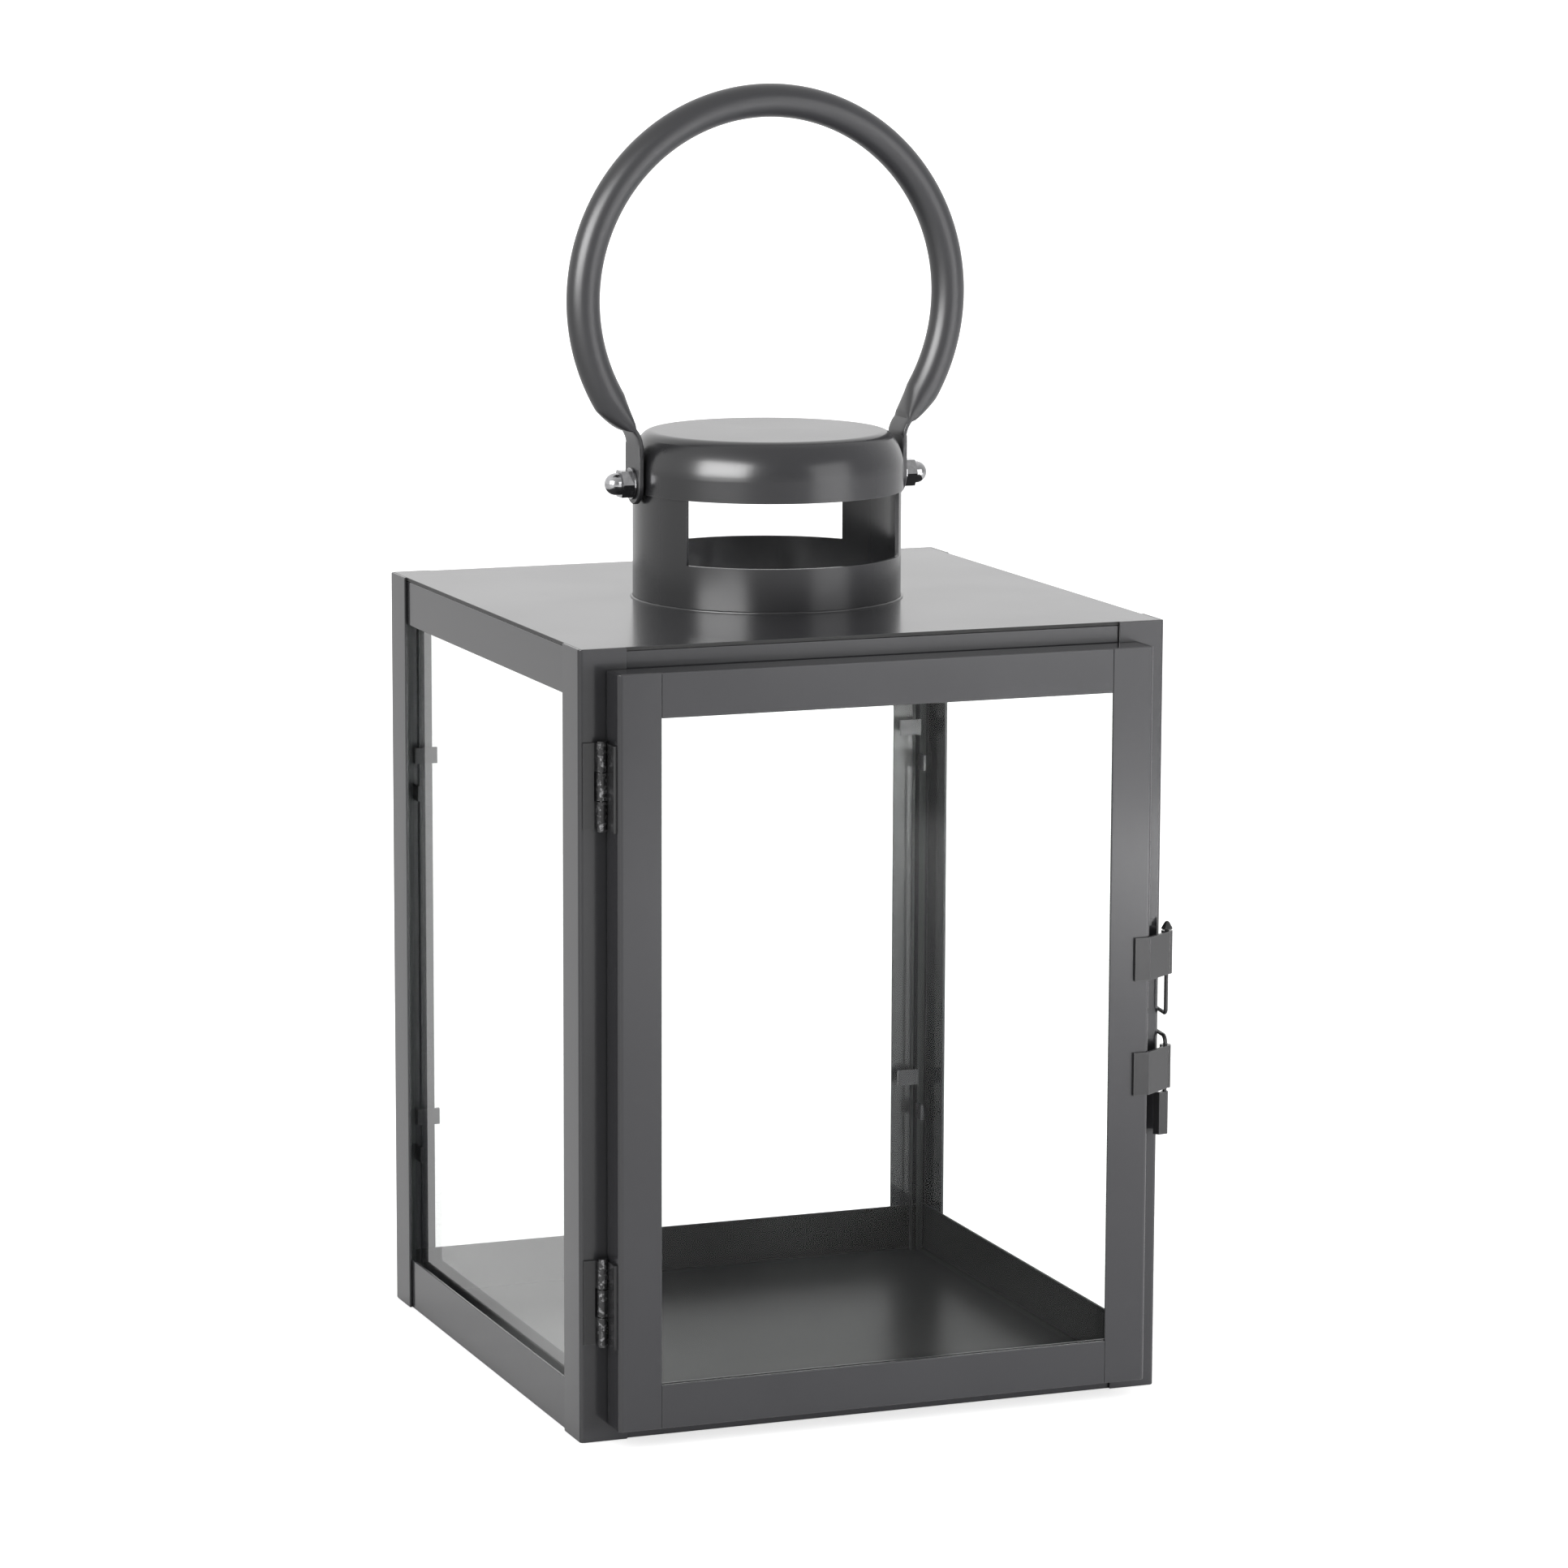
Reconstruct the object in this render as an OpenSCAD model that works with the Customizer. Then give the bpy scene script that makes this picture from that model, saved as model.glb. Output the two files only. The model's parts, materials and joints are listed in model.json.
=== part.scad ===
// Table lantern for a candle: a glazed sheet-metal box with a hinged front door,
// a vent collar with a cap on its roof, and a swinging ring handle.
// The origin is the middle of the footprint at floor level. The door faces -Y.

/* [Body] */
// Width of the body over its posts, left to right
body_w = 161; // [151:0.5:171]
// Depth of the body over its posts, without the door
body_d = 157.5; // [147.5:0.5:167.5]
// Height of the body, floor to top plate
body_h = 205; // [195:1:215]
// Width of each flange of the corner posts
post_w = 12.8; // [11:0.2:13]
// Width of the back posts' flanges across the back, mm
back_flange_w = 11.5; // [10.5:0.1:13]
// Height of the rails round the floor
bottom_rail_h = 13.5; // [12:0.5:15]
// Height of the rails under the top plate
top_rail_h = 12; // [11:0.5:13]
// Thickness of the frame's sheet metal
sheet_t = 0.8; // [0.7:0.1:1]
// Outside bend radius of the posts and stiles
bend_r = 1.2; // [0.8:0.1:1.5]

/* [Glass] */
// Thickness of every pane
pane_t = 2; // [1.5:0.1:2.2]
// Gap between a fixed pane and the frame in front of it
pane_gap = 2; // [1.8:0.1:2.4]

/* [Door] */
// Width of the door
door_w = 146.6; // [144:0.2:147]
// Height of the door
door_h = 195; // [190:0.5:195]
// How far the door's face stands in front of the body
door_proud = 9.6; // [9:0.1:10]
// Width of the door's frame strips
door_strip = 11.5; // [10.5:0.5:12.5]
// Clearance between the closed door and the body
door_gap = 0.3; // [0.3:0.05:0.5]
// Height of each hinge
hinge_h = 22; // [18:1:26]
// Height of the lower hinge's middle
lower_hinge_z = 37; // [34:1:44]
// Height of the upper hinge's middle
upper_hinge_z = 170.4; // [160:0.2:175]

/* [Catches] */
// Diameter of the catch wire
wire_d = 1.1; // [0.9:0.1:1.2]
// Height of each catch strap
strap_h = 11.4; // [10:0.2:12]
// Bottom of the upper catch strap
upper_strap_z = 112; // [108:0.5:116]
// Bottom of the lower catch strap
lower_strap_z = 81.5; // [78:0.1:84]

/* [Vent] */
// Outside radius of the vent collar
collar_r = 35.8; // [34:0.1:36]
// Height of the windows' lower edge above the top plate
window_sill = 11.6; // [9:0.1:13]
// Half of the angle that each window takes out of the collar
window_half_angle = 57; // [50:1:57]
// Height of the cap's lower edge above the top plate
cap_low = 28.8; // [28:0.1:29]
// Height of the cap's top above the top plate
cap_high = 44.4; // [43.5:0.1:46]
// Radius of the broad curve at the foot of the cap's shoulder
shoulder_sweep = 14; // [13:0.5:14]
// Radius of the tight curve at the top of the cap's shoulder
shoulder_round = 4; // [3.5:0.5:4]

/* [Handle] */
// Radius of the handle's ring, to the middle of the tube
ring_r = 51.7; // [50:0.1:54]
// Diameter of the handle's tube
tube_d = 8.8; // [7:0.2:9]
// Height of the ring's middle above the top plate
ring_up = 79.8; // [78:0.1:82]
// Height of the pivot above the top plate
pivot_up = 31.5; // [31.2:0.1:32]
// Width of the handle's flattened ends
flat_w = 11; // [10:0.5:12]
// Thickness of the handle's flattened ends
flat_t = 1.4; // [1.2:0.1:1.6]
// Diameter of the pivot bolts
bolt_d = 4; // [3.5:0.1:4]

/* [Hidden] */
$fn = 64;

paint = "#4a4a4c";
bright = "silver";
pane_tint = "#dfe8ea";

half_w = body_w / 2;
half_d = body_d / 2;
inner_w = half_w - sheet_t;
inner_d = half_d - sheet_t;
plate_t = 1;
floor_t = 0.8;
frame_h = body_h - plate_t;
rail_in_w = inner_w - sheet_t;
rail_in_d = inner_d - sheet_t;
flue_r = collar_r - 2;

// Fixed panes: the side panes run past the ends of the back pane
side_pane_x = inner_w - pane_gap - pane_t;
side_pane_half = half_d - 3.8;
back_pane_y = inner_d - pane_gap - pane_t;
back_pane_half = half_w - 6.5;
pane_top = frame_h - 4;
lug_t = 0.8;
lug_h = 4.5;
lug_reach = 6.4;
lug_clear = 0.7;
back_lug_z = [50, 152];
side_lug_z = [40, 142];

// Door, closed
door_x = door_w / 2;
door_face_y = -half_d - door_proud;
door_back_y = -half_d - door_gap;
door_z = (body_h - door_h) / 2 - 0.4;
door_top = door_z + door_h;
door_pane_x = door_x - 4.5;
door_pane_y = door_face_y + sheet_t;
door_lug_x = 6;

// Butt hinges
leaf_t = 0.8;
knuckle_r = 1.4;
pin_r = 0.6;
run_fit = 0.05;
hinge_x = -door_x - 1.7;
hinge_y = -half_d - 1.6;
leaf_w = 4.7;
door_leaf_w = 6.4;
knuckle_gap = 0.3;
notch = 1.8;

// Catch straps and their wires
catch_x = door_x + 7.7;
catch_y = door_face_y + 6.55;
strap_t = 0.8;
strap_leaf = 4.6;
strap_offset = 1.3;
barrel_r = 1.5;
wire_r = wire_d / 2;
wire_sides = 12;
arm_angle = 84;
bail_drop = 10.8;
bail_reach = 13;
bail_end = 5;
bail_bend = 1.2;
hook_rise = 2.2;
hook_reach = 11.5;
hook_end = 5;
hook_bend = 2;
tab_h = 11.4;
tab_gap = 1.1;
keeper_r = 2.2;
keeper_up = 0.9;

// Vent collar and cap
collar_t = 1;
cap_t = 0.6;
cap_r = collar_r + cap_t;
shoulder_meet = [0.8, 0.6];
shoulder_h = shoulder_sweep * shoulder_meet[1] + shoulder_round * (1 - shoulder_meet[1]);
crown_r = cap_r - shoulder_sweep * (1 - shoulder_meet[0]) - shoulder_round * shoulder_meet[0];
window_top = cap_low + 1.7;
collar_h = cap_high - shoulder_h;
wedge_r = 80;

// Handle and its pivots
pivot_z = body_h + pivot_up;
tube_r = tube_d / 2;
ring_z = body_h + ring_up;
flat_x = cap_r + 0.3 + flat_t / 2;
leg_bend = 7;
leg_angle = acos((flat_x + leg_bend) / (ring_r + leg_bend));
leg_end_z = ring_z - (ring_r + leg_bend) * sin(leg_angle);
tube_sides = 16;
flatten_l = 9;
round_angle = flatten_l / ring_r * 180 / PI - leg_angle;
bolt_r = bolt_d / 2;
washer_x = flat_x + flat_t / 2 + 0.1;
washer_t = 0.6;
washer_r = 4.2;
nut_x = washer_x + washer_t;
nut_af = 7;
nut_h = 3;
dome_r = 2.9;
dome_up = 1;
bolt_end = nut_x + nut_h + 2;
head_x = sqrt(pow(collar_r - collar_t, 2) - 14);
head_h = 2.4;
head_r = 3.6;

// A box between two opposite corners
module block(low, high) {
    translate(low) cube(high - low);
}

// The children, mirrored left to right when side is -1
module on_side(side) {
    if (side < 0) mirror([1, 0, 0]) children();
    else children();
}

// The children, mirrored front to back when end is -1
module on_end(end) {
    if (end < 0) mirror([0, 1, 0]) children();
    else children();
}

// L outline with its rounded outer corner at the origin, legs along -X and -Y
module angle_outline(leg_x, leg_y) {
    difference() {
        union() {
            translate([-leg_x, -leg_y]) square([leg_x - bend_r, leg_y]);
            translate([-leg_x, -leg_y]) square([leg_x, leg_y - bend_r]);
            translate([-bend_r, -bend_r]) circle(bend_r);
        }
        translate([-leg_x - 1, -leg_y - 1])
            square([leg_x + 1 - sheet_t, leg_y + 1 - sheet_t]);
    }
}

// ---- Frame ----

module post(side, end) {
    color(paint) on_side(side) on_end(end)
        translate([half_w, half_d, 0])
            linear_extrude(body_h) angle_outline(end < 0 ? post_w : back_flange_w, post_w);
}

// A rail across the front (end -1) or the back (end 1), behind the posts' flanges
module cross_rail(end, low, high) {
    color(paint) on_end(end)
        block([-inner_w, rail_in_d, low], [inner_w, inner_d, high]);
}

// A rail along the left (side -1) or the right (side 1), between the cross rails
module side_rail(side, low, high) {
    color(paint) on_side(side)
        block([rail_in_w, -rail_in_d, low], [inner_w, rail_in_d, high]);
}

module base_plate() {
    color(paint) block([-rail_in_w, -rail_in_d, 0], [rail_in_w, rail_in_d, floor_t]);
}

// Sheet on top of the rails, inside the posts
module top_plate() {
    color(paint) difference() {
        block([-inner_w, -inner_d, frame_h], [inner_w, inner_d, body_h]);
        translate([0, 0, frame_h - 1]) cylinder(h = plate_t + 2, r = flue_r);
    }
}

// ---- Vent ----

// Pie slice that takes out one window
module window_wedge() {
    side_x = wedge_r * sin(window_half_angle);
    side_y = wedge_r * cos(window_half_angle);
    translate([0, 0, window_sill]) linear_extrude(window_top - window_sill)
        polygon([[0, 0], [-side_x, -side_y], [0, -wedge_r], [side_x, -side_y]]);
}

module bolt_hole(radius) {
    translate([0, 0, pivot_up]) rotate([0, 90, 0])
        cylinder(h = 2 * wedge_r, r = radius, center = true);
}

module vent_collar() {
    color(paint) translate([0, 0, body_h]) difference() {
        cylinder(h = collar_h, r = collar_r, $fn = 128);
        translate([0, 0, -1]) cylinder(h = collar_h + 2, r = collar_r - collar_t, $fn = 128);
        window_wedge();
        on_end(-1) window_wedge();
        bolt_hole(bolt_r + run_fit);
    }
}

// Half outline of the cap, its top at height 0, with every face moved inwards by inset.
// A broad curve rises from the skirt and runs into the tight one round the crown.
// They meet where their common normal is shoulder_meet.
module cap_outline(inset) {
    depth = cap_high - cap_low;
    sweep_r = shoulder_sweep - inset;
    round_r = shoulder_round - inset;
    translate([0, -depth - inset]) square([cap_r - inset, depth - shoulder_h + inset]);
    translate([0, -depth - inset]) square([crown_r, depth]);
    translate([cap_r - shoulder_sweep, -shoulder_h]) intersection() {
        circle(sweep_r);
        translate([sweep_r * shoulder_meet[0] - shoulder_round, 0])
            square([shoulder_round + sweep_r, sweep_r * shoulder_meet[1]]);
    }
    translate([crown_r, -shoulder_round]) intersection() {
        circle(round_r);
        translate([0, round_r * shoulder_meet[1]]) square(shoulder_round);
    }
}

module cap() {
    color(paint) translate([0, 0, body_h]) difference() {
        translate([0, 0, cap_high]) rotate_extrude($fn = 128) difference() {
            cap_outline(0);
            cap_outline(cap_t);
        }
        bolt_hole(bolt_r + run_fit);
    }
}

// ---- Glass ----

module glass_side(side) {
    color(pane_tint, 0.4) on_side(side)
        block([side_pane_x, -side_pane_half, floor_t],
              [side_pane_x + pane_t, side_pane_half, pane_top]);
}

module glass_back() {
    color(pane_tint, 0.4)
        block([-back_pane_half, back_pane_y, floor_t],
              [back_pane_half, back_pane_y + pane_t, pane_top]);
}

// Bent strips welded inside the posts, which hold a side pane by its upright edges
module glass_lugs_side(side) {
    foot = side_pane_half + lug_clear;
    face = side_pane_x - lug_t;
    color(paint) on_side(side) for (end = [-1, 1], z = side_lug_z) on_end(end) {
        block([face, foot, z], [inner_w, foot + lug_t, z + lug_h]);
        block([face, foot + lug_t - lug_reach, z], [side_pane_x, foot, z + lug_h]);
    }
}

module glass_lugs_back() {
    foot = back_pane_half + lug_clear;
    face = back_pane_y - lug_t;
    color(paint) for (side = [-1, 1], z = back_lug_z) on_side(side) {
        block([foot, face, z], [foot + lug_t, inner_d, z + lug_h]);
        block([foot + lug_t - lug_reach, face, z], [foot, back_pane_y, z + lug_h]);
    }
}

// ---- Door ----

// Upright strip: a face and a flange that turns back to the body
module door_stile(side) {
    color(paint) on_side(side) translate([door_x, door_face_y, door_z]) on_end(-1)
        linear_extrude(door_h) angle_outline(door_strip, door_back_y - door_face_y);
}

// Cross strip between the stiles; its flange runs behind their faces
module door_rail(low, flange_low) {
    face_x = door_x - door_strip;
    color(paint) {
        block([-face_x, door_face_y, low], [face_x, door_pane_y, low + door_strip]);
        block([sheet_t - door_x, door_pane_y, flange_low],
              [door_x - sheet_t, door_back_y, flange_low + sheet_t]);
    }
}

module door_glass() {
    color(pane_tint, 0.4)
        block([-door_pane_x, door_pane_y, door_z + 5],
              [door_pane_x, door_pane_y + pane_t, door_top - 5]);
}

// Tabs welded to the stiles' flanges, against the inner face of the pane
module door_glass_lugs() {
    tab_y = door_pane_y + pane_t;
    color(paint) for (side = [-1, 1], z = back_lug_z) on_side(side)
        block([door_x - sheet_t - door_lug_x, tab_y, z],
              [door_x - sheet_t, tab_y + lug_t, z + lug_h]);
}

// ---- Hinges ----

// Third part of a hinge's height, shortened by the gap to its neighbours
module knuckle(index) {
    third = hinge_h / 3;
    low = index * third + (index > 0 ? knuckle_gap / 2 : 0);
    high = (index + 1) * third - (index < 2 ? knuckle_gap / 2 : 0);
    translate([0, 0, low - hinge_h / 2]) cylinder(h = high - low, r = knuckle_r);
}

// Leaf on the post's front flange, with the top and bottom knuckles
module hinge_body_leaf(height) {
    third = hinge_h / 3;
    plate_y = -half_d - hinge_y;
    color(paint) translate([hinge_x, hinge_y, height]) difference() {
        union() {
            block([-leaf_w, plate_y - leaf_t, -hinge_h / 2], [-notch, plate_y, hinge_h / 2]);
            for (index = [0, 2]) {
                low = index * third + (index > 0 ? knuckle_gap / 2 : 0) - hinge_h / 2;
                block([-notch, plate_y - leaf_t, low],
                      [0, plate_y, low + third - knuckle_gap / 2]);
                knuckle(index);
            }
        }
        cylinder(h = 2 * hinge_h, r = pin_r, center = true);
    }
}

// Leaf on the door's side, with the middle knuckle
module hinge_door_leaf(height) {
    third = hinge_h / 3;
    plate_x = -door_x - hinge_x;
    color(paint) translate([hinge_x, hinge_y, height]) difference() {
        union() {
            block([plate_x - leaf_t, -door_leaf_w, -hinge_h / 2], [plate_x, -notch, hinge_h / 2]);
            block([plate_x - leaf_t, -notch, knuckle_gap / 2 - third / 2],
                  [plate_x, 0, third / 2 - knuckle_gap / 2]);
            knuckle(1);
        }
        cylinder(h = 2 * hinge_h, r = pin_r + run_fit, center = true);
    }
}

// Pin with a button head at each end
module hinge_pin(height) {
    head = 0.5;
    color(paint) translate([hinge_x, hinge_y, height]) {
        cylinder(h = hinge_h, r = pin_r, center = true);
        for (end = [-1, 1]) translate([0, 0, end * (hinge_h + head) / 2])
            cylinder(h = head, r = 2 * pin_r, center = true);
    }
}

// ---- Catches ----

// Strap on the door's face, folded back at the door's edge and rolled into a barrel
module catch_strap(low) {
    fold = [door_x - 0.3, door_face_y - strap_t];
    run = [catch_x - fold[0], catch_y - fold[1]];
    slope = atan2(run[1], run[0]) - asin(strap_offset / norm(run));
    reach = sqrt(pow(norm(run), 2) - pow(strap_offset, 2));
    end = fold + reach * [cos(slope), sin(slope)];
    leaf_x = door_x - strap_leaf;
    color(paint) translate([0, 0, low]) difference() {
        union() {
            linear_extrude(strap_h) polygon([
                [leaf_x, door_face_y], [leaf_x, fold[1]], fold, end,
                end + strap_t * [-sin(slope), cos(slope)],
                [fold[0] - strap_t * tan(slope / 2), door_face_y]
            ]);
            translate([catch_x, catch_y, 0]) cylinder(h = strap_h, r = barrel_r);
        }
        translate([catch_x, catch_y, -1]) cylinder(h = strap_h + 2, r = wire_r + run_fit);
    }
}

// Sign-keeping power, which squares up a circle's sine or cosine
function squared(value, power) = sign(value) * pow(abs(value), power);

// Solid bar swept along rings in the XZ plane.
// A ring is [x, z, half thickness in the plane, half width along Y, squareness].
module swept_bar(rings, sides) {
    last = len(rings) - 1;
    tangents = [for (i = [0:last])
        let (a = rings[max(i - 1, 0)], b = rings[min(i + 1, last)], step = [b[0] - a[0], b[1] - a[1]])
        step / norm(step)];
    points = [for (i = [0:last], k = [0:sides - 1])
        let (r = rings[i], t = tangents[i], turn = 360 * (k + 0.5) / sides,
             across = r[2] * squared(cos(turn), r[4]), along = r[3] * squared(sin(turn), r[4]))
        [r[0] - t[1] * across, along, r[1] + t[0] * across]];
    walls = [for (i = [0:last - 1], k = [0:sides - 1])
        let (a = i * sides + k, b = i * sides + (k + 1) % sides)
        each [[a, b, b + sides], [a, b + sides, a + sides]]];
    start = [for (k = [sides - 1:-1:0]) k];
    end = [for (k = [0:sides - 1]) last * sides + k];
    polyhedron(points, concat([start], walls, [end]));
}

// Wire along a list of [distance, height] points, each bend an arc of given steps
function wire_arc(center, radius, from, to, steps) = [for (i = [0:steps])
    let (angle = from + (to - from) * i / steps)
    [center[0] + radius * cos(angle), center[1] + radius * sin(angle), wire_r, wire_r, 1]];

module catch_pivot() {
    translate([catch_x, catch_y, 0]) children();
}

// Wire loop of the upper catch: pivot leg with a pointed head, arm and upturned end
module upper_catch_bail() {
    low = upper_strap_z - bail_drop;
    arm_z = low + bail_bend;
    point_z = upper_strap_z + strap_h + 0.3;
    color(paint) catch_pivot() {
        translate([0, 0, arm_z]) cylinder(h = point_z - arm_z, r = wire_r);
        translate([0, 0, point_z]) cylinder(h = 2.2, r1 = barrel_r, r2 = 0.4);
        rotate([0, 0, arm_angle]) swept_bar(concat(
            wire_arc([bail_bend, arm_z], bail_bend, 180, 270, 6),
            wire_arc([bail_reach - bail_bend, arm_z], bail_bend, 270, 360, 6),
            [[bail_reach, low + bail_end, wire_r, wire_r, 1]]), wire_sides);
    }
}

// Wire hook of the lower catch: pivot leg, arm over the keeper and downturned end
module lower_catch_hook() {
    foot = lower_strap_z - tab_gap - tab_h / 2;
    top = lower_strap_z + strap_h + hook_rise;
    arm_z = top - hook_bend;
    color(paint) catch_pivot() {
        translate([0, 0, foot]) cylinder(h = arm_z - foot, r = wire_r);
        rotate([0, 0, arm_angle]) swept_bar(concat(
            wire_arc([hook_bend, arm_z], hook_bend, 180, 90, 6),
            wire_arc([hook_reach - hook_bend, arm_z], hook_bend, 90, 0, 6),
            [[hook_reach, top - hook_end, wire_r, wire_r, 1]]), wire_sides);
    }
}

// Folded thumb tab crimped on the foot of the lower wire
module lower_catch_tab() {
    low = lower_strap_z - tab_gap - tab_h;
    color(paint) catch_pivot() difference() {
        translate([0, 0, low]) linear_extrude(tab_h) {
            polygon([[-3.1, 0.2], [-2, -1.2], [0.4, -0.9], [0.6, 0], [-1.7, -0.3], [-2.8, 0.8]]);
            circle(wire_r + 0.4);
        }
        translate([0, 0, low + tab_h / 2]) cylinder(h = tab_h, r = wire_r);
    }
}

// Low round buttons on the right posts, one under the end of each catch wire
module catch_keepers() {
    arm_y = sin(arm_angle);
    bail = [catch_y + bail_reach * arm_y, upper_strap_z - bail_drop + bail_end / 2];
    hook = [catch_y + hook_reach * arm_y, lower_strap_z + strap_h + hook_rise - hook_end / 2];
    color(paint) for (spot = [bail, hook])
        translate([half_w, spot[0], spot[1]]) rotate([0, 90, 0])
            cylinder(h = keeper_up, r1 = keeper_r, r2 = keeper_r - keeper_up);
}

// ---- Handle ----

// Ring of the handle, at a distance along it from the end of the flat leg.
// The tube swells quickly at first and is round after flatten_l.
function leg_ring(x, z, along) =
    let (round = pow(min(1, along / flatten_l), 0.6))
    [x, z, flat_t * 0.49 * (1 - round) + tube_r * round,
     flat_w * 0.495 * (1 - round) + tube_r * round, 0.5 + 0.5 * round];

// Arc that turns the flat leg from upright to the ring's direction
function bend_rings() = [for (i = [0:4])
    let (turn = leg_angle * i / 4)
    leg_ring(flat_x + leg_bend * (1 - cos(turn)), leg_end_z + leg_bend * sin(turn), 0)];

// Stretch of the ring between two angles, without its first point
function circle_rings(from, to, steps) = [for (i = [1:steps])
    let (angle = from + (to - from) * i / steps)
    leg_ring(ring_r * cos(angle), ring_z + ring_r * sin(angle),
             ring_r * (angle + leg_angle) * PI / 180)];

// Right half of the handle, from its flat end to the top of the ring
function half_rings() = concat(
    [leg_ring(flat_x, leg_end_z - 2, 0)], bend_rings(),
    circle_rings(-leg_angle, round_angle, 7), circle_rings(round_angle, 90, 24));

// The right half, then the left half from the top down
function handle_rings() = let (right = half_rings(), last = len(right) - 1)
    concat(right, [for (i = [last - 1:-1:0]) let (r = right[i]) [-r[0], r[1], r[2], r[3], r[4]]]);

module handle() {
    color(paint) difference() {
        union() {
            swept_bar(handle_rings(), tube_sides);
            for (side = [-1, 1]) on_side(side) flat_end();
        }
        translate([0, 0, pivot_z]) rotate([0, 90, 0])
            cylinder(h = 3 * ring_r, r = bolt_r + run_fit, center = true);
    }
}

// Round-ended flat of one leg, round the bolt
module flat_end() {
    translate([flat_x - flat_t / 2, 0, pivot_z]) rotate([0, 90, 0]) linear_extrude(flat_t) {
        circle(flat_w / 2);
        translate([pivot_z - leg_end_z, -flat_w / 2]) square([leg_end_z - pivot_z, flat_w]);
    }
}

// ---- Handle fasteners, modelled on the right and mirrored to the left ----

module along_pivot(side, x) {
    on_side(side) translate([x, 0, pivot_z]) rotate([0, 90, 0]) children();
}

module handle_bolt(side) {
    color(bright) along_pivot(side, head_x - head_h) {
        cylinder(h = bolt_end - head_x + head_h, r = bolt_r);
        cylinder(h = head_h, r1 = head_r - 1, r2 = head_r);
    }
}

module handle_washer(side) {
    color(bright) along_pivot(side, washer_x) difference() {
        cylinder(h = washer_t, r = washer_r);
        translate([0, 0, -1]) cylinder(h = washer_t + 2, r = bolt_r + run_fit);
    }
}

// Domed hexagon nut with a blind bore
module acorn_nut(side) {
    color(bright) along_pivot(side, nut_x) difference() {
        union() {
            rotate([0, 0, 30]) cylinder(h = nut_h, r = nut_af / 2 / cos(30), $fn = 6);
            cylinder(h = nut_h + dome_up, r = dome_r);
            translate([0, 0, nut_h + dome_up]) sphere(dome_r);
        }
        translate([0, 0, -1]) cylinder(h = bolt_end - nut_x + 1, r = bolt_r);
    }
}

post(-1, -1);  // post_front_left
post(1, -1);  // post_front_right
post(-1, 1);  // post_back_left
post(1, 1);  // post_back_right
cross_rail(-1, 0, bottom_rail_h);  // bottom_rail_front
cross_rail(1, 0, bottom_rail_h);  // bottom_rail_back
side_rail(-1, 0, bottom_rail_h);  // bottom_rail_left
side_rail(1, 0, bottom_rail_h);  // bottom_rail_right
cross_rail(-1, frame_h - top_rail_h, frame_h);  // top_rail_front
cross_rail(1, frame_h - top_rail_h, frame_h);  // top_rail_back
side_rail(-1, frame_h - top_rail_h, frame_h);  // top_rail_left
side_rail(1, frame_h - top_rail_h, frame_h);  // top_rail_right
base_plate();
top_plate();
vent_collar();
cap();
glass_side(-1);  // glass_left
glass_side(1);  // glass_right
glass_back();
glass_lugs_side(-1);  // glass_lugs_left
glass_lugs_side(1);  // glass_lugs_right
glass_lugs_back();
hinge_body_leaf(upper_hinge_z);  // upper_hinge_body_leaf
hinge_body_leaf(lower_hinge_z);  // lower_hinge_body_leaf
hinge_pin(upper_hinge_z);  // upper_hinge_pin
hinge_pin(lower_hinge_z);  // lower_hinge_pin
catch_keepers();
handle_bolt(-1);  // handle_bolt_left
handle_bolt(1);  // handle_bolt_right
handle_washer(-1);  // handle_washer_left
handle_washer(1);  // handle_washer_right
acorn_nut(-1);  // acorn_nut_left
acorn_nut(1);  // acorn_nut_right
door_stile(-1);  // door_stile_hinge
door_stile(1);  // door_stile_catch
door_rail(door_top - door_strip, door_top - sheet_t);  // door_rail_top
door_rail(door_z, door_z);  // door_rail_bottom
door_glass();
door_glass_lugs();
hinge_door_leaf(upper_hinge_z);  // upper_hinge_door_leaf
hinge_door_leaf(lower_hinge_z);  // lower_hinge_door_leaf
catch_strap(upper_strap_z);  // upper_catch_strap
catch_strap(lower_strap_z);  // lower_catch_strap
handle();
upper_catch_bail();
lower_catch_hook();
lower_catch_tab();
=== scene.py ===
"""Looks of the candle lantern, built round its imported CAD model."""

import json
import math

import bpy
from mathutils import Matrix, Vector


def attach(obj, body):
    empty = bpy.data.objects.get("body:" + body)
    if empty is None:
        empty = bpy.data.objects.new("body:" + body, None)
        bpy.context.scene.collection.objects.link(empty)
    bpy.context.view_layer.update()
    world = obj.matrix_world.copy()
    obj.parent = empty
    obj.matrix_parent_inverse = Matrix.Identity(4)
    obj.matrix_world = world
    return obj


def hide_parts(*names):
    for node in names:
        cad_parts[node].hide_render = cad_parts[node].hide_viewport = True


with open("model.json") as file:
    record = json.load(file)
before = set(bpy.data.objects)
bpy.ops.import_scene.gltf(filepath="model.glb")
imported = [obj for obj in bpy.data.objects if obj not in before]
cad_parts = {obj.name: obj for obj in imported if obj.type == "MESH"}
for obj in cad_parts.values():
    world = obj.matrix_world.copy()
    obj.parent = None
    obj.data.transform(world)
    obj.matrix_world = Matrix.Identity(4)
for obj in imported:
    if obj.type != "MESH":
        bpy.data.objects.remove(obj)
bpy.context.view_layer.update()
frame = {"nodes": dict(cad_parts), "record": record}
NODES = frame["nodes"]
MM = 0.001

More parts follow.
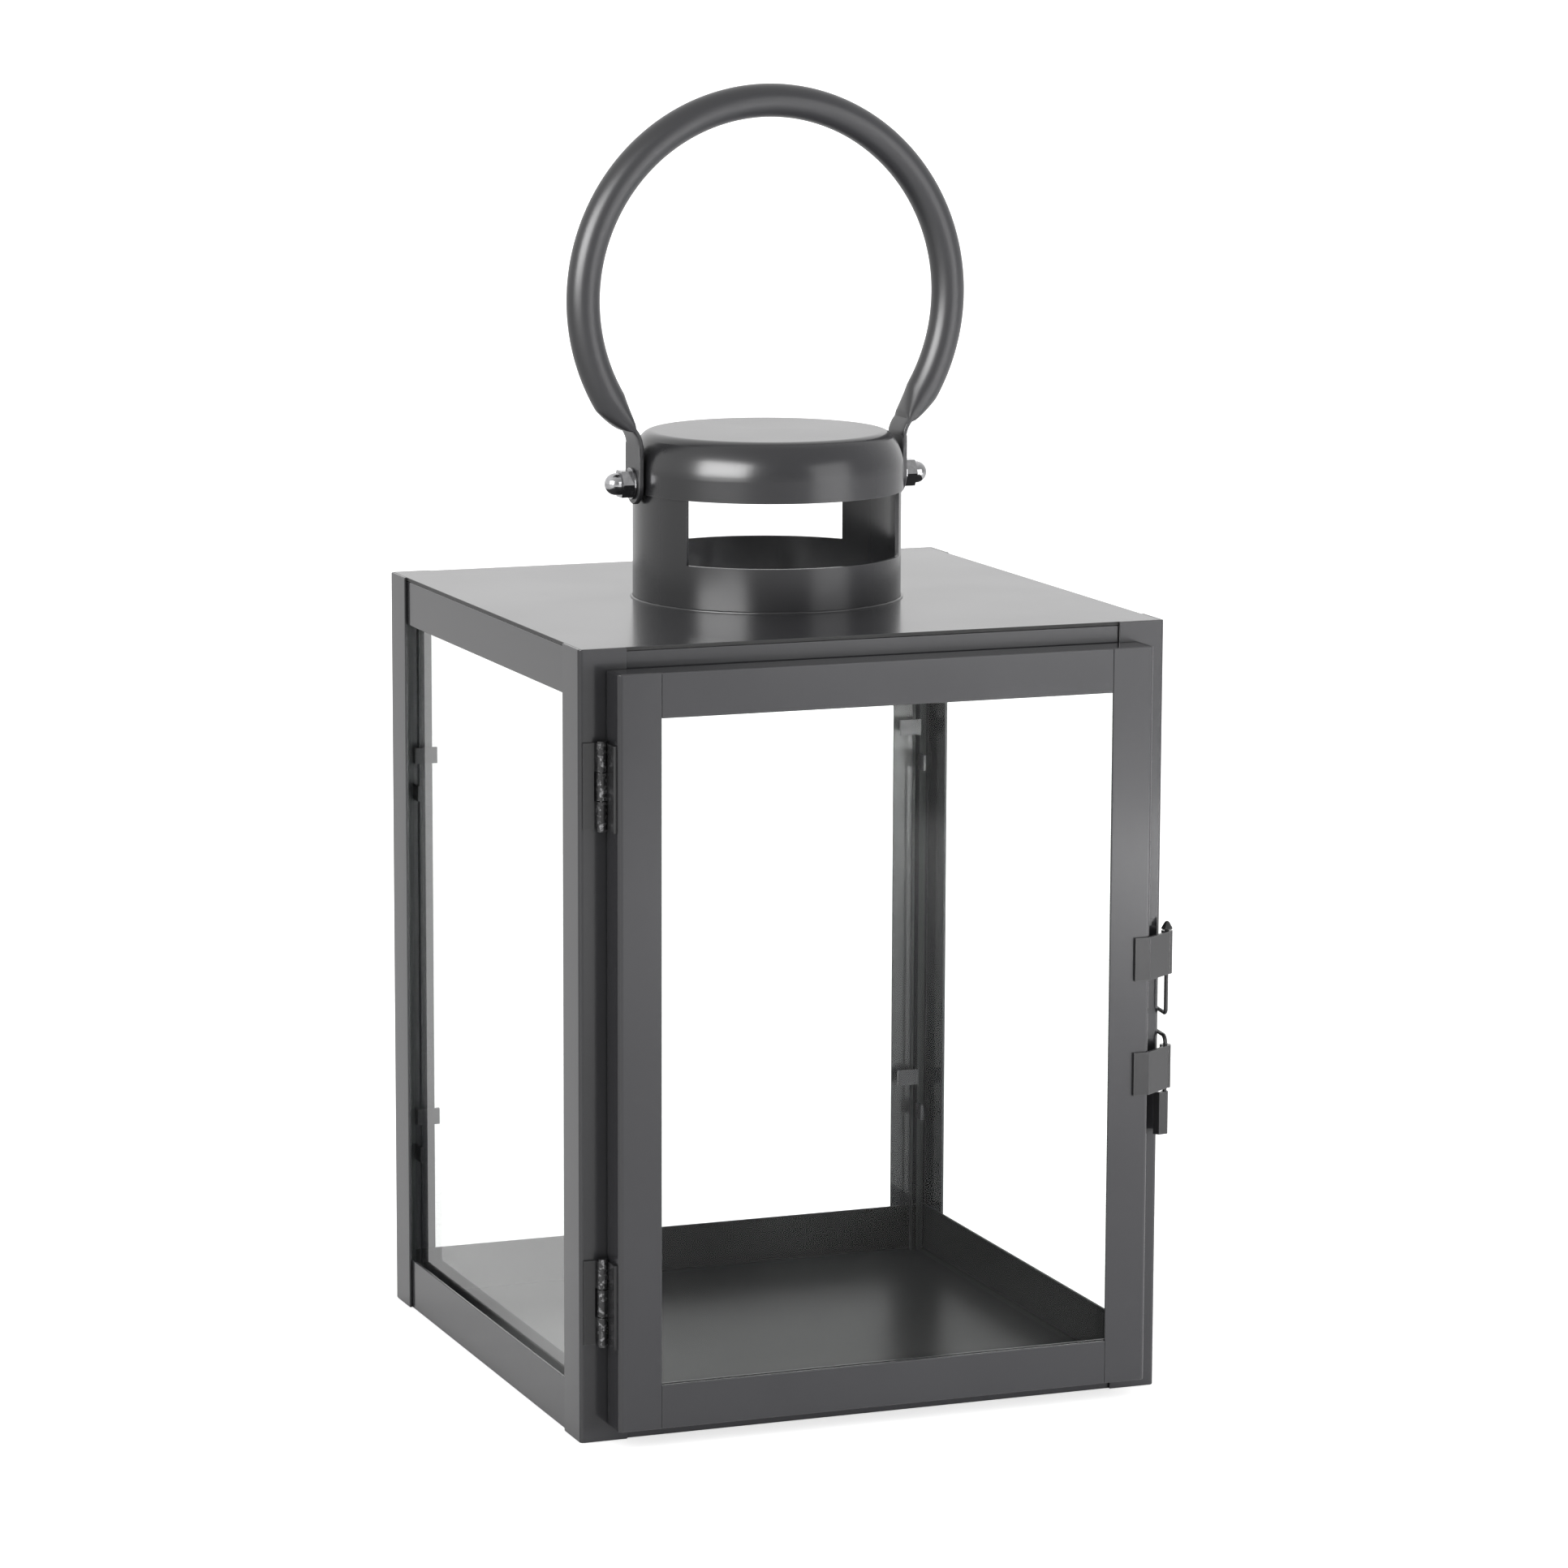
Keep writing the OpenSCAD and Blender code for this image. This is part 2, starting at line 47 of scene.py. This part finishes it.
# Colours are linear reflectances
PAINT = (0.0275, 0.0275, 0.0300)
VENT_PAINT = (0.0225, 0.0225, 0.0245)
# Lighter edge colour: partly paint rubbed thin, partly a painted highlight along the edges
RUBBED_EDGE_AND_SHEEN = (0.10, 0.10, 0.103)
HINGE_PAINT = (0.017, 0.017, 0.018)
# Painted shade: a darker, duller copy of the paint for parts that little light reaches
SHADOWED_PAINT = (0.012, 0.012, 0.0127)
BARE_STEEL = (0.22, 0.22, 0.225)
STEEL = (0.42, 0.42, 0.43)
# Painted shade, blended into the paint in tight corners and seams
CORNER_SHADE = (0.012, 0.012, 0.012)
# Painted shade for the sides of the top plate
PLATE_RIM_SHADE = (0.010, 0.010, 0.010)
# Painted shade for the corners of bright metal
METAL_CORNER_SHADE = (0.05, 0.05, 0.05)
GLASS_TINT = (0.985, 0.99, 0.987)
GLASS_EDGE_DARK = (0.010, 0.0125, 0.012)
GLASS_EDGE_LIGHT = (0.020, 0.0235, 0.023)
FLOOR_DARK, FLOOR_LIGHT = (0.80, 0.80, 0.80), (0.84, 0.84, 0.84)
WHITE = (1.0, 1.0, 1.0)

# Line through the hinge pins, as X and Y, and the reach of a knuckle round it, in mm
HINGE_AXIS, KNUCKLE_R = (-75.0, -80.35), 1.5


# ---- Node helpers ----


class Material:
    """A node material whose nodes are added one call at a time."""

    def __init__(self, name):
        self.data = bpy.data.materials.new(name)
        self.data.use_nodes = True
        self.tree = self.data.node_tree
        self.tree.nodes.clear()
        self.output = self.add("OutputMaterial")
        self.coord = self.add("TexCoord").outputs["Object"]

    def add(self, kind, **values):
        """A new shader node. Values that are sockets are linked, and the others are set."""
        node = self.tree.nodes.new("ShaderNode" + kind)
        for key, value in values.items():
            if hasattr(node, key) and not isinstance(value, bpy.types.NodeSocket):
                setattr(node, key, value)
            else:
                self.plug(node.inputs[key.replace("_", " ")], value)
        return node

    def plug(self, socket, value):
        if isinstance(value, bpy.types.NodeSocket):
            self.tree.links.new(value, socket)
        elif isinstance(value, tuple) and len(value) == 3 and socket.type == "RGBA":
            socket.default_value = (*value, 1.0)
        else:
            socket.default_value = value

    def noise(self, scale, detail=2.0, roughness=0.5):
        node = self.add("TexNoise", Vector=self.coord, Scale=scale, Detail=detail, Roughness=roughness)
        return node.outputs["Fac"]

    def remap(self, value, low, high, to_low, to_high):
        node = self.add("MapRange", Value=value, From_Min=low, From_Max=high,
                        To_Min=to_low, To_Max=to_high)
        return node.outputs["Result"]

    def math(self, operation, first, second=0.0):
        node = self.add("Math", operation=operation)
        self.plug(node.inputs[0], first)
        self.plug(node.inputs[1], second)
        return node.outputs["Value"]

    def blend(self, share, first, second):
        node = self.add("Mix", data_type="RGBA")
        self.plug(node.inputs["Factor"], share)
        self.plug(node.inputs[6], first)
        self.plug(node.inputs[7], second)
        return node.outputs[2]

    def bump(self, layers):
        """Bump normals from a list of (height, depth in metres, strength)."""
        normal = None
        for height, depth, strength in layers:
            node = self.add("Bump", Height=height, Distance=depth, Strength=strength)
            if normal is not None:
                self.plug(node.inputs["Normal"], normal)
            normal = node.outputs["Normal"]
        return normal

    def edges(self, radius):
        """1 along outer edges, 0 on flat ground."""
        rounded = self.add("Bevel", samples=4, Radius=radius).outputs["Normal"]
        dot = self.add("VectorMath", operation="DOT_PRODUCT")
        self.plug(dot.inputs[0], rounded)
        self.plug(dot.inputs[1], self.add("NewGeometry").outputs["Normal"])
        return self.remap(dot.outputs["Value"], 0.99, 0.86, 0.0, 1.0)

    def shade_in_corners(self, distance):
        """1 in tight corners, 0 in the open: where painted shade goes."""
        open_share = self.add("AmbientOcclusion", samples=6, Distance=distance).outputs["AO"]
        return self.remap(open_share, 0.75, 0.25, 0.0, 1.0)

    def finish(self, shader):
        self.plug(self.output.inputs["Surface"], shader)
        return self.data


# ---- Materials ----


def paint(name, base=PAINT, rough=0.15, rub_and_sheen=0.15, gloss=0.5, painted_rim_shade=False, scuffed=False):
    """Semi-gloss powder coat: fine orange peel, faint mottling, lighter rubbed edges that are partly a
    painted highlight, and painted shade in the corners.

    The rim option paints shade on the sides of a plate, blackening them. scuffed bares the metal in
    patches on the hinges' knuckles.
    """
    m = Material(name)
    cloud = m.noise(24.0, 3.0)
    peel = m.noise(620.0, 2.0)
    grain = m.noise(3400.0, 1.0)
    speck = m.noise(1300.0, 2.0, 0.7)
    tone = m.remap(cloud, 0.3, 0.7, 0.0, 1.0)
    colour = m.blend(tone, tuple(0.96 * c for c in base), tuple(1.04 * c for c in base))
    # Lighter edges: partly paint rubbed thin, partly a painted highlight along the edges.
    rubbed_and_sheen = m.math("MULTIPLY", m.edges(0.45 * MM), m.remap(speck, 0.42, 0.62, 0.25, rub_and_sheen * 2))
    colour = m.blend(rubbed_and_sheen, colour, RUBBED_EDGE_AND_SHEEN)
    # Painted shade: the colour goes towards black in tight corners and seams, where shade falls.
    colour = m.blend(m.math("MULTIPLY", m.shade_in_corners(1.6 * MM), 0.75), colour, CORNER_SHADE)
    roughness = m.math("ADD", m.remap(cloud, 0.3, 0.7, rough - 0.012, rough + 0.012),
                       m.remap(grain, 0.3, 0.7, -0.015, 0.015))
    # Painted shade: a plate's sides are blackened, as the gap along them lies in shade.
    if painted_rim_shade:
        side = m.math("LESS_THAN", m.math("ABSOLUTE", object_normal(m, "Z")), 0.5)
        colour = m.blend(side, colour, PLATE_RIM_SHADE)
        roughness = m.math("ADD", roughness, m.math("MULTIPLY", side, 0.35))
    metal = 0.0
    if scuffed:
        rubbed = m.remap(m.noise(750.0, 3.0, 0.6), 0.52, 0.62, 0.0, 1.0)
        metal = m.math("MULTIPLY", near_hinge_axis(m), rubbed)
        colour = m.blend(metal, colour, BARE_STEEL)
    normal = m.bump([(peel, 0.015 * MM, 0.2), (grain, 0.003 * MM, 0.35)])
    shader = m.add("BsdfPrincipled", Base_Color=colour, Roughness=roughness, Normal=normal,
                   Metallic=metal, Specular_IOR_Level=gloss)
    return m.finish(shader.outputs["BSDF"])


def near_hinge_axis(m):
    """1 within a knuckle's radius of the line through the hinge pins."""
    split = m.add("SeparateXYZ", Vector=m.coord)
    across = m.math("SUBTRACT", split.outputs["X"], HINGE_AXIS[0] * MM)
    along = m.math("SUBTRACT", split.outputs["Y"], HINGE_AXIS[1] * MM)
    square = m.math("ADD", m.math("MULTIPLY", across, across), m.math("MULTIPLY", along, along))
    return m.math("LESS_THAN", square, (KNUCKLE_R * MM) ** 2)


def object_normal(m, axis):
    coord = m.add("TexCoord").outputs["Normal"]
    return m.add("SeparateXYZ", Vector=coord).outputs[axis]


def bright_metal(name):
    """Plated steel with a fine turned grain, a few dull patches and painted shade in its corners."""
    m = Material(name)
    patch = m.noise(900.0, 3.0)
    grain = m.noise(5200.0, 2.0)
    roughness = m.remap(patch, 0.35, 0.7, 0.07, 0.22)
    tone = m.remap(patch, 0.3, 0.7, 0.0, 1.0)
    colour = m.blend(tone, STEEL, tuple(0.82 * c for c in STEEL))
    # Painted shade: darker in tight corners, where shade falls.
    colour = m.blend(m.math("MULTIPLY", m.shade_in_corners(0.8 * MM), 0.8), colour, METAL_CORNER_SHADE)
    shader = m.add("BsdfPrincipled", Base_Color=colour, Roughness=roughness, Metallic=1.0,
                   Normal=m.bump([(grain, 0.004 * MM, 0.4)]))
    return m.finish(shader.outputs["BSDF"])


def pane(name, axis, head_on, grazing):
    """Clear sheet glass: a mirror by angle over a clear sheet, with dark ground edges.

    axis is the one across the pane. head_on and grazing are how much each face mirrors.
    """
    m = Material(name)
    haze = m.noise(30.0, 4.0, 0.6)
    facing = m.add("LayerWeight", Blend=0.5).outputs["Facing"]
    slope = m.math("POWER", facing, 5.0)
    share = m.math("ADD", m.math("MULTIPLY", slope, grazing), head_on)
    clear = m.add("BsdfTransparent", Color=GLASS_TINT).outputs["BSDF"]
    mirror = m.add("BsdfGlossy", Color=WHITE, Roughness=m.remap(haze, 0.35, 0.7, 0.01, 0.05))
    face = m.add("MixShader")
    m.plug(face.inputs[0], share)
    m.plug(face.inputs[1], clear)
    m.plug(face.inputs[2], mirror.outputs["BSDF"])
    grit = m.noise(2600.0, 2.0)
    edge_colour = m.blend(m.remap(grit, 0.3, 0.7, 0.0, 1.0), GLASS_EDGE_DARK, GLASS_EDGE_LIGHT)
    edge = m.add("BsdfPrincipled", Base_Color=edge_colour, Roughness=0.35,
                 Normal=m.bump([(grit, 0.03 * MM, 0.6)]))
    is_face = m.math("GREATER_THAN", m.math("ABSOLUTE", object_normal(m, axis)), 0.5)
    both = m.add("MixShader")
    m.plug(both.inputs[0], is_face)
    m.plug(both.inputs[1], edge.outputs["BSDF"])
    m.plug(both.inputs[2], face.outputs["Shader"])
    return m.finish(both.outputs["Shader"])


# ---- Mesh helpers ----


def piece(name, vertices, faces, body, material):
    mesh = bpy.data.meshes.new(name)
    mesh.from_pydata([tuple(v) for v in vertices], [], faces)
    mesh.validate()
    for polygon in mesh.polygons:
        polygon.use_smooth = True
    mesh.set_sharp_from_angle(angle=math.radians(40))
    mesh.materials.append(material)
    made = bpy.data.objects.new(name, mesh)
    bpy.context.scene.collection.objects.link(made)
    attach(made, body)
    return made


def merged(*parts):
    """Several (vertices, faces) as one."""
    vertices, faces = [], []
    for more, their_faces in parts:
        faces += [[i + len(vertices) for i in f] for f in their_faces]
        vertices += more
    return vertices, faces


def loft(rings):
    """A closed solid through rings of equal length, capped at both ends."""
    sides = len(rings[0])
    vertices = [v for ring in rings for v in ring]
    faces = []
    for i in range(len(rings) - 1):
        for k in range(sides):
            a, b = i * sides + k, i * sides + (k + 1) % sides
            faces.append([a, b, b + sides, a + sides])
    last = (len(rings) - 1) * sides
    faces.append(list(range(sides))[::-1])
    faces.append([last + k for k in range(sides)])
    return vertices, faces


def sweep(line, across, radius, sides=20):
    """A round wire along points of one upright plane, across being the way square to it."""
    rings = []
    for i, point in enumerate(line):
        ahead = (line[min(i + 1, len(line) - 1)] - line[max(i - 1, 0)]).normalized()
        up = ahead.cross(across)
        rings.append([point + radius * (across * math.cos(t) + up * math.sin(t))
                      for t in (2 * math.pi * k / sides for k in range(sides))])
    return loft(rings)


def lathe(centre, profile, sides=32):
    """A solid of revolution round an upright axis, from (radius, height) pairs."""
    rings = [[Vector((centre[0] + r * math.cos(t), centre[1] + r * math.sin(t), z))
              for t in (2 * math.pi * k / sides for k in range(sides))] for r, z in profile]
    return loft(rings)


def arc(centre, radius, start, stop, steps):
    """Points of an arc in a plane, in degrees."""
    angles = [math.radians(start + (stop - start) * i / steps) for i in range(steps + 1)]
    return [(centre[0] + radius * math.cos(a), centre[1] + radius * math.sin(a)) for a in angles]


# ---- Handle ----

# The handle's sizes in mm. flat_power squares off the section of its flat legs.
HANDLE = {
    "ring_r": 51.7, "ring_z": 284.8, "tube_r": 4.4, "pivot_z": 236.5, "flat_x": 37.4,
    "flat_t": 1.4, "flat_w": 11.0, "leg_bend": 7.0, "flatten_l": 9.0, "hole_r": 2.05,
    "flat_power": 0.38,
}


def handle_line():
    """(x, z, distance past the flat leg) along the middle of the right half, in mm."""
    h = HANDLE
    reach = h["ring_r"] + h["leg_bend"]
    lean = math.acos((h["flat_x"] + h["leg_bend"]) / reach)
    foot_z = h["ring_z"] - reach * math.sin(lean)
    line = [(h["flat_x"], foot_z, 0.0)]
    for i in range(1, 11):
        turn = lean * i / 10
        line.append((h["flat_x"] + h["leg_bend"] * (1 - math.cos(turn)),
                     foot_z + h["leg_bend"] * math.sin(turn), 0.0))
    for i in range(1, 121):
        angle = -lean + (math.pi / 2 + lean) * i / 120
        line.append((h["ring_r"] * math.cos(angle), h["ring_z"] + h["ring_r"] * math.sin(angle),
                     h["ring_r"] * (angle + lean)))
    return line, foot_z


def handle_ring(x, z, along, tangent, sides=48):
    """One cross-section, from a flat rounded bar to the round tube."""
    h = HANDLE
    share = min(1.0, along / h["flatten_l"]) ** 0.6
    thick = h["flat_t"] / 2 * (1 - share) + h["tube_r"] * share
    wide = h["flat_w"] / 2 * (1 - share) + h["tube_r"] * share
    power = h["flat_power"] + (1 - h["flat_power"]) * share
    ring = []
    for k in range(sides):
        turn = 2 * math.pi * (k + 0.5) / sides
        c, s = math.cos(turn), math.sin(turn)
        across = thick * math.copysign(abs(c) ** power, c)
        ring.append(Vector((x - tangent[1] * across, wide * math.copysign(abs(s) ** power, s),
                            z + tangent[0] * across)) * MM)
    return ring


def eye_plate(side, foot_z):
    """The round-ended flat with its bolt hole, edges slightly rounded."""
    h = HANDLE
    half, soft = h["flat_w"] / 2, 0.25
    into_leg = 0.6
    top = foot_z - h["pivot_z"] + into_leg
    steps = 48

    def outline(radius):
        points = []
        for k in range(steps):
            a = 2 * math.pi * (k + 0.5) / steps
            y, z = math.cos(a), math.sin(a)
            if z <= 0:
                points.append((radius * y, radius * z))
            else:
                scale = min(radius / max(abs(y), 1e-9), top / z)
                points.append((scale * y, scale * z))
        return points

    hole = [(h["hole_r"] * math.cos(2 * math.pi * (k + 0.5) / steps),
             h["hole_r"] * math.sin(2 * math.pi * (k + 0.5) / steps)) for k in range(steps)]
    near, far = h["flat_x"] - h["flat_t"] / 2, h["flat_x"] + h["flat_t"] / 2
    loops = [(near, hole), (near, outline(half - soft)), (near + soft, outline(half)),
             (far - soft, outline(half)), (far, outline(half - soft)), (far, hole)]
    vertices = [Vector((side * x, y, h["pivot_z"] + z)) * MM for x, loop in loops for y, z in loop]
    faces = []
    for i in range(len(loops)):
        j = (i + 1) % len(loops)
        for k in range(steps):
            n = (k + 1) % steps
            quad = [i * steps + k, i * steps + n, j * steps + n, j * steps + k]
            faces.append(quad if side < 0 else quad[::-1])
    return vertices, faces


def build_handle(material):
    line, foot_z = handle_line()
    right = line[:-1]
    whole = right + [line[-1]] + [(-x, z, along) for x, z, along in reversed(right)]
    rings = []
    for i, (x, z, along) in enumerate(whole):
        a, b = whole[max(i - 1, 0)], whole[min(i + 1, len(whole) - 1)]
        step = Vector((b[0] - a[0], b[1] - a[1])).normalized()
        rings.append(handle_ring(x, z, along, step))
    vertices, faces = merged(loft(rings), eye_plate(1, foot_z), eye_plate(-1, foot_z))
    made = piece("ring_handle", vertices, faces, "handle", material)
    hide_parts("handle")


# ---- Catch wires ----

# Upright axis of both wires, the way their arms point, and the way square to both, in mm
PIVOT = Vector((81.0, -81.8, 0))
ARM = Vector((math.cos(math.radians(84)), math.sin(math.radians(84)), 0))
ACROSS = Vector((-ARM.y, ARM.x, 0))
WIRE_R = 0.55


def wire_points(plane_points):
    """The CAD frame's points for (distance from the pivot, height) pairs in mm."""
    return [(PIVOT + ARM * d + Vector((0, 0, z))) * MM for d, z in plane_points]


def build_upper_bail(material):
    low, strap_z, point_z, reach, end, bend = 101.2, 112.0, 123.7, 13.0, 5.0, 1.2
    line = [(0, point_z + 0.3), (0, strap_z), (0, low + bend + 1)]
    line += arc((bend, low + bend), bend, 180, 270, 10)
    line += arc((reach - bend, low + bend), bend, 270, 360, 10)
    line += [(reach, low + end)]
    head = [(0.9, point_z), (1.42, point_z + 0.08), (1.5, point_z + 0.3), (1.28, point_z + 0.75),
            (0.72, point_z + 1.75), (0.42, point_z + 2.12), (0.2, point_z + 2.2)]
    centre = (PIVOT.x * MM, PIVOT.y * MM)
    vertices, faces = merged(sweep(wire_points(line), ACROSS, WIRE_R * MM),
                             lathe(centre, [(r * MM, z * MM) for r, z in head]))
    made = piece("upper_bail_wire", vertices, faces, "upper_bail", material)
    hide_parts("upper_catch_bail")


def build_lower_hook(material):
    foot, strap_z, top, reach, end, bend = 74.7, 82.0, 95.1, 11.5, 5.0, 2.0
    line = [(0, foot), (0, strap_z), (0, top - bend - 1)]
    line += arc((bend, top - bend), bend, 180, 90, 10)
    line += arc((reach - bend, top - bend), bend, 90, 0, 10)
    line += [(reach, top - end)]
    vertices, faces = sweep(wire_points(line), ACROSS, WIRE_R * MM)
    made = piece("lower_hook_wire", vertices, faces, "lower_hook", material)
    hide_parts("lower_catch_hook")


# ---- Seam ----


def build_collar_seam(material):
    """The thin bead of the weld between the collar and the top plate."""
    radius, level, bead, sides, steps = 36.0, 205.0, 0.45, 10, 128
    rings = []
    for i in range(steps):
        turn = 2 * math.pi * i / steps
        out = Vector((math.cos(turn), math.sin(turn), 0))
        lump = 1 + 0.10 * math.sin(37 * turn) + 0.07 * math.sin(59 * turn)
        rings.append([(out * (radius + bead * lump * math.cos(a))
                       + Vector((0, 0, level + bead * lump * math.sin(a)))) * MM
                      for a in (2 * math.pi * k / sides for k in range(sides))])
    vertices = [v for ring in rings for v in ring]
    count = len(vertices)
    faces = [[i * sides + k, i * sides + (k + 1) % sides,
              ((i + 1) * sides + (k + 1) % sides) % count, ((i + 1) * sides + k) % count]
             for i in range(steps) for k in range(sides)]
    piece("collar_seam", vertices, faces, "lantern", material)


# ---- CAD nodes: materials and softened edges ----


# Widths of the softened edges in mm, by the first words of a node's name
EDGE_WIDTHS = {
    ("post_", "bottom_rail", "top_rail", "door_stile", "door_rail", "base_plate"): 0.22,
    "top_plate": 0.15,
    ("glass_lugs", "door_glass_lugs"): 0.12,
}


def soften(node, width):
    """Rounds a sheet-metal node's edges with modifiers, keeping its mesh as packed."""
    mesh = node.data
    if "custom_normal" in mesh.attributes:
        mesh.attributes.remove(mesh.attributes["custom_normal"])
    for polygon in mesh.polygons:
        polygon.use_smooth = True
    weld = node.modifiers.new("weld", "WELD")
    weld.merge_threshold = 0.002 * MM
    bevel = node.modifiers.new("bevel", "BEVEL")
    bevel.width = width * MM
    bevel.segments = 2
    bevel.limit_method = "ANGLE"
    bevel.angle_limit = math.radians(40)
    weighted = node.modifiers.new("weighted_normals", "WEIGHTED_NORMAL")
    weighted.mode = "FACE_AREA"


def dress():
    looks = {
        "frame_paint": paint("frame_paint"),
        "plate_paint": paint("plate_paint", rough=0.20, rub_and_sheen=0.1, painted_rim_shade=True),
        "vent_paint": paint("vent_paint", base=VENT_PAINT, rough=0.24, rub_and_sheen=0.1),
        "handle_paint": paint("handle_paint", rough=0.34, rub_and_sheen=0.1),
        "hinge_paint": paint("hinge_paint", base=HINGE_PAINT, rough=0.18, rub_and_sheen=0.1, scuffed=True),
        "catch_paint": paint("catch_paint", base=HINGE_PAINT, rough=0.22, rub_and_sheen=0.15),
        "fastener": bright_metal("fastener"),
    }
    # Painted shade: the floor plate and the far bottom rails get a darker, duller copy of the paint, as
    # little light reaches them.
    shaded = paint("shaded_paint", base=SHADOWED_PAINT, rough=0.30, gloss=0.08)
    special = {
        "base_plate": shaded,
        "bottom_rail_right": shaded,
        "bottom_rail_back": shaded,
        "glass_left": pane("side_glass", "X", 0.060, 1.10),
        "glass_right": pane("side_glass_right", "X", 0.004, 0.10),
        "glass_back": pane("back_glass", "Y", 0.010, 0.80),
        "door_glass": pane("door_glass_clear", "Y", 0.008, 0.80),
    }
    slots = {s["node"]: s["material_slot"] for s in frame["record"]["subparts"]}
    for name, node in NODES.items():
        node.data.materials.clear()
        node.data.materials.append(special.get(name) or looks[slots[name]])
        for starts, width in EDGE_WIDTHS.items():
            if name.startswith(starts):
                soften(node, width)
    return looks


# ---- Studio ----

# Brightness of the floor and the sky. The SEEN values are what the camera itself sees.
FLOOR_GLOW, FLOOR_GLOW_SEEN = 0.08, 0.60
SKY_FRONT, SKY_BACK, SKY_SEEN = 0.45, 1.2, 1.2
SKY_TOWARDS = (-0.50, 0.85, 0.15)
SKY_RANGE = (-0.9, 0.5)
LOOK_AT = (0, 0, 0.2)


def build_floor():
    m = Material("pale_floor")
    speck = m.noise(60.0, 3.0)
    colour = m.blend(m.remap(speck, 0.3, 0.7, 0.0, 1.0), FLOOR_DARK, FLOOR_LIGHT)
    seen = m.add("LightPath").outputs["Is Camera Ray"]
    lit = m.add("BsdfPrincipled", Base_Color=colour, Roughness=0.7, Emission_Color=WHITE,
                Emission_Strength=m.remap(seen, 0.0, 1.0, FLOOR_GLOW, FLOOR_GLOW_SEEN))
    material = m.finish(lit.outputs["BSDF"])
    mesh = bpy.data.meshes.new("floor")
    size, level = 40.0, -0.05 * MM
    corners = [(-size, -size, level), (size, -size, level), (size, size, level), (-size, size, level)]
    mesh.from_pydata(corners, [], [[0, 1, 2, 3]])
    mesh.materials.append(material)
    made = bpy.data.objects.new("floor", mesh)
    bpy.context.scene.collection.objects.link(made)


def softbox(name, place, aim, width, height, power, fills=True, shines=True):
    """A rectangular light. fills is whether it lights diffusely, shines whether it is mirrored."""
    light = bpy.data.lights.new(name, "AREA")
    light.shape = "RECTANGLE"
    light.size, light.size_y, light.energy = width, height, power
    made = bpy.data.objects.new(name, light)
    bpy.context.scene.collection.objects.link(made)
    made.location = place
    made.visible_diffuse, made.visible_glossy = fills, shines
    made.rotation_euler = (Vector(aim) - Vector(place)).to_track_quat("-Z", "Y").to_euler()


def build_lights():
    scene = bpy.context.scene
    world = bpy.data.worlds.new("studio")
    scene.world = world
    world.use_nodes = True
    nodes, links = world.node_tree.nodes, world.node_tree.links
    towards = nodes.new("ShaderNodeVectorMath")
    towards.operation = "DOT_PRODUCT"
    towards.inputs[1].default_value = SKY_TOWARDS
    links.new(nodes.new("ShaderNodeTexCoord").outputs["Generated"], towards.inputs[0])
    sky = nodes.new("ShaderNodeMapRange")
    for socket, value in zip(sky.inputs[1:5], (*SKY_RANGE, SKY_FRONT, SKY_BACK)):
        socket.default_value = value
    links.new(towards.outputs["Value"], sky.inputs[0])
    seen = nodes.new("ShaderNodeMix")
    links.new(nodes.new("ShaderNodeLightPath").outputs["Is Camera Ray"], seen.inputs[0])
    links.new(sky.outputs["Result"], seen.inputs[2])
    seen.inputs[3].default_value = SKY_SEEN
    links.new(seen.outputs[0], nodes["Background"].inputs["Strength"])
    nodes["Background"].inputs["Color"].default_value = (1, 1, 1, 1)
    softbox("left_softbox", (-1.37, -0.82, 0.75), LOOK_AT, 1.3, 0.9, 56, fills=False)
    softbox("right_softbox", (0.92, -1.31, 0.50), LOOK_AT, 1.0, 1.0, 7.5)
    softbox("low_card", (0.62, -0.70, 0.10), (0.05, -0.08, 0.03), 0.6, 0.2, 9, shines=False)
    scene.view_settings.view_transform = "Standard"
    scene.cycles.transparent_max_bounces = 24


# The camera's turn to the right, tilt down and roll in degrees, place in metres and lens in mm
CAMERA_TURNS = (21.198, 9.6585, 0.206)
CAMERA_PLACE = (-0.5504, -1.4325, 0.4150)
CAMERA_LENS, CAMERA_SENSOR = 133.04, 36.0


def build_camera():
    yaw, pitch, roll = (math.radians(turn) for turn in CAMERA_TURNS)
    ahead = Vector((math.sin(yaw) * math.cos(pitch), math.cos(yaw) * math.cos(pitch), -math.sin(pitch)))
    level = Vector((math.cos(yaw), -math.sin(yaw), 0))
    upright = level.cross(ahead)
    right = level * math.cos(roll) + upright * math.sin(roll)
    up = upright * math.cos(roll) - level * math.sin(roll)
    data = bpy.data.cameras.new("camera")
    data.lens, data.sensor_width = CAMERA_LENS, CAMERA_SENSOR
    data.clip_start, data.clip_end = 0.1, 100.0
    made = bpy.data.objects.new("camera", data)
    bpy.context.scene.collection.objects.link(made)
    turn = Matrix((right, up, -ahead)).transposed().to_4x4()
    made.matrix_world = Matrix.Translation(CAMERA_PLACE) @ turn
    bpy.context.scene.camera = made


build_camera()
build_lights()
build_floor()
materials = dress()
build_handle(materials["handle_paint"])
build_upper_bail(materials["catch_paint"])
build_lower_hook(materials["catch_paint"])
build_collar_seam(materials["vent_paint"])
